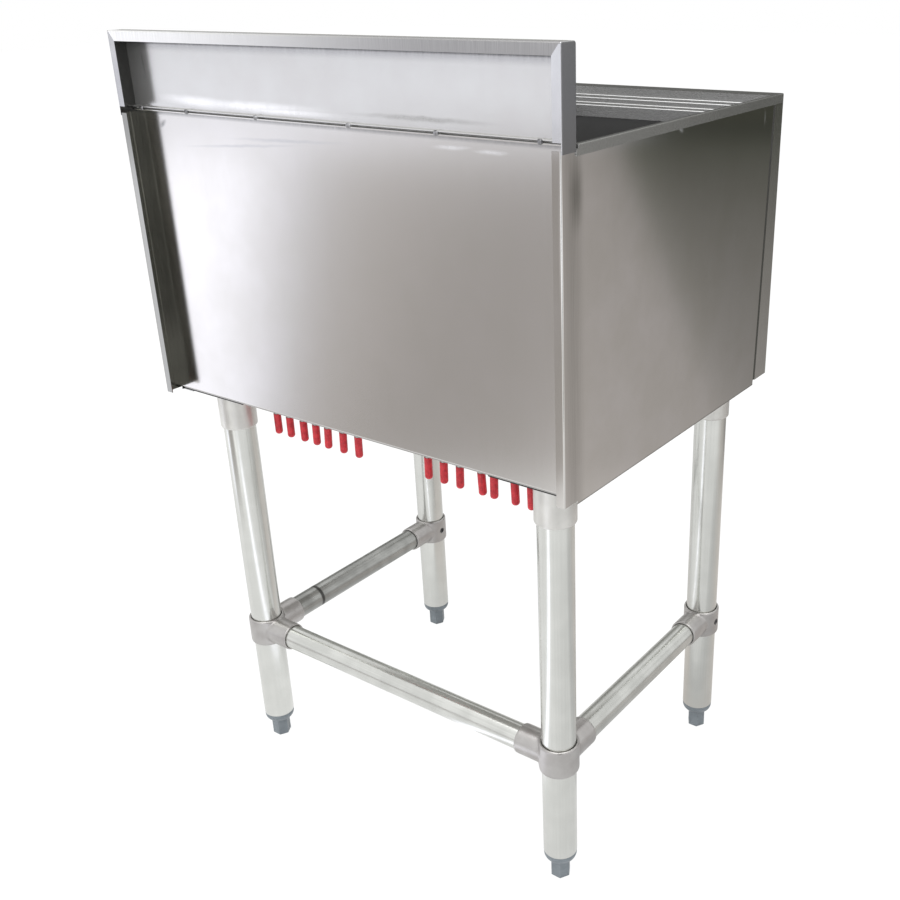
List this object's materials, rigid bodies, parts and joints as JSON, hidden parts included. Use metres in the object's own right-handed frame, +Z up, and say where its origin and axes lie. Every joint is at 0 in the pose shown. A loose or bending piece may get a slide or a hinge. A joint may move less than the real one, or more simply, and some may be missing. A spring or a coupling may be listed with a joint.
{
  "type": "ice bin",
  "caption": "Insulated stainless underbar ice bin with a backsplash, stepped rim, sliding lids, capped cold plate tubes below and a braced tubular leg stand",
  "frame": {"origin": "On the floor, under the middle of the overall outline", "axes": "Z up; front to -Y; +X to the user's right"},
  "size_m": [0.61, 0.457, 0.974],
  "materials": {
    "stainless_sheet": "brushed",
    "lid_black": "matte",
    "connector_cast": "satin",
    "leg_tube": "satin",
    "socket_zinc": "satin",
    "foot_plastic": "matte",
    "cap_vinyl": "satin",
    "foam": "matte",
    "plate_cast": "satin",
    "drain_chrome": "polished",
    "gasket_rubber": "matte",
    "screw_steel": "satin",
    "gusset_paint": "satin"
  },
  "bodies": {
    "stand_and_box": {"rim_frame": "stainless_sheet", "side_panel_left": "stainless_sheet", "side_panel_right": "stainless_sheet", "rear_panel": "stainless_sheet", "front_apron": "stainless_sheet", "base_panel": "stainless_sheet", "gusset_plates": "gusset_paint", "backsplash": "stainless_sheet", "splash_end_left": "stainless_sheet", "splash_end_right": "stainless_sheet", "liner": "stainless_sheet", "cold_plate": "plate_cast", "foam_insulation": "foam", "circuit_tubes": "leg_tube", "tube_caps": "cap_vinyl", "drain_fitting": "drain_chrome", "drain_gasket": "gasket_rubber", "drain_locknut": "drain_chrome", "drain_strainer": "drain_chrome", "socket_set_screws": "screw_steel", "connector_set_screws": "screw_steel", "brace_rear": "leg_tube", "brace_left": "leg_tube", "brace_right": "leg_tube", "leg_socket_front_left": "socket_zinc", "leg_front_left": "leg_tube", "foot_insert_front_left": "foot_plastic", "connector_front_left": "connector_cast", "leg_socket_front_right": "socket_zinc", "leg_front_right": "leg_tube", "foot_insert_front_right": "foot_plastic", "connector_front_right": "connector_cast", "leg_socket_rear_left": "socket_zinc", "leg_rear_left": "leg_tube", "foot_insert_rear_left": "foot_plastic", "connector_rear_left": "connector_cast", "leg_socket_rear_right": "socket_zinc", "leg_rear_right": "leg_tube", "foot_insert_rear_right": "foot_plastic", "connector_rear_right": "connector_cast"},
    "lid_left_body": {"lid_left": "lid_black"},
    "lid_right_body": {"lid_right": "lid_black"},
    "foot_front_left_body": {"foot_front_left": "foot_plastic"},
    "foot_front_right_body": {"foot_front_right": "foot_plastic"},
    "foot_rear_left_body": {"foot_rear_left": "foot_plastic"},
    "foot_rear_right_body": {"foot_rear_right": "foot_plastic"}
  },
  "joints": [
    {"name": "lid_left_slide", "type": "slide", "parent": "stand_and_box", "child": "lid_left_body", "axis": [1, 0, 0], "range_m": [0, 0.285]},
    {"name": "lid_right_slide", "type": "slide", "parent": "stand_and_box", "child": "lid_right_body", "axis": [-1, 0, 0], "range_m": [0, 0.285]},
    {"name": "foot_front_left_screw", "type": "slide", "parent": "stand_and_box", "child": "foot_front_left_body", "axis": [0, 0, 1], "range_m": [-0.025, 0]},
    {"name": "foot_front_right_screw", "type": "slide", "parent": "stand_and_box", "child": "foot_front_right_body", "axis": [0, 0, 1], "range_m": [-0.025, 0]},
    {"name": "foot_rear_left_screw", "type": "slide", "parent": "stand_and_box", "child": "foot_rear_left_body", "axis": [0, 0, 1], "range_m": [-0.025, 0]},
    {"name": "foot_rear_right_screw", "type": "slide", "parent": "stand_and_box", "child": "foot_rear_right_body", "axis": [0, 0, 1], "range_m": [-0.025, 0]}
  ]
}
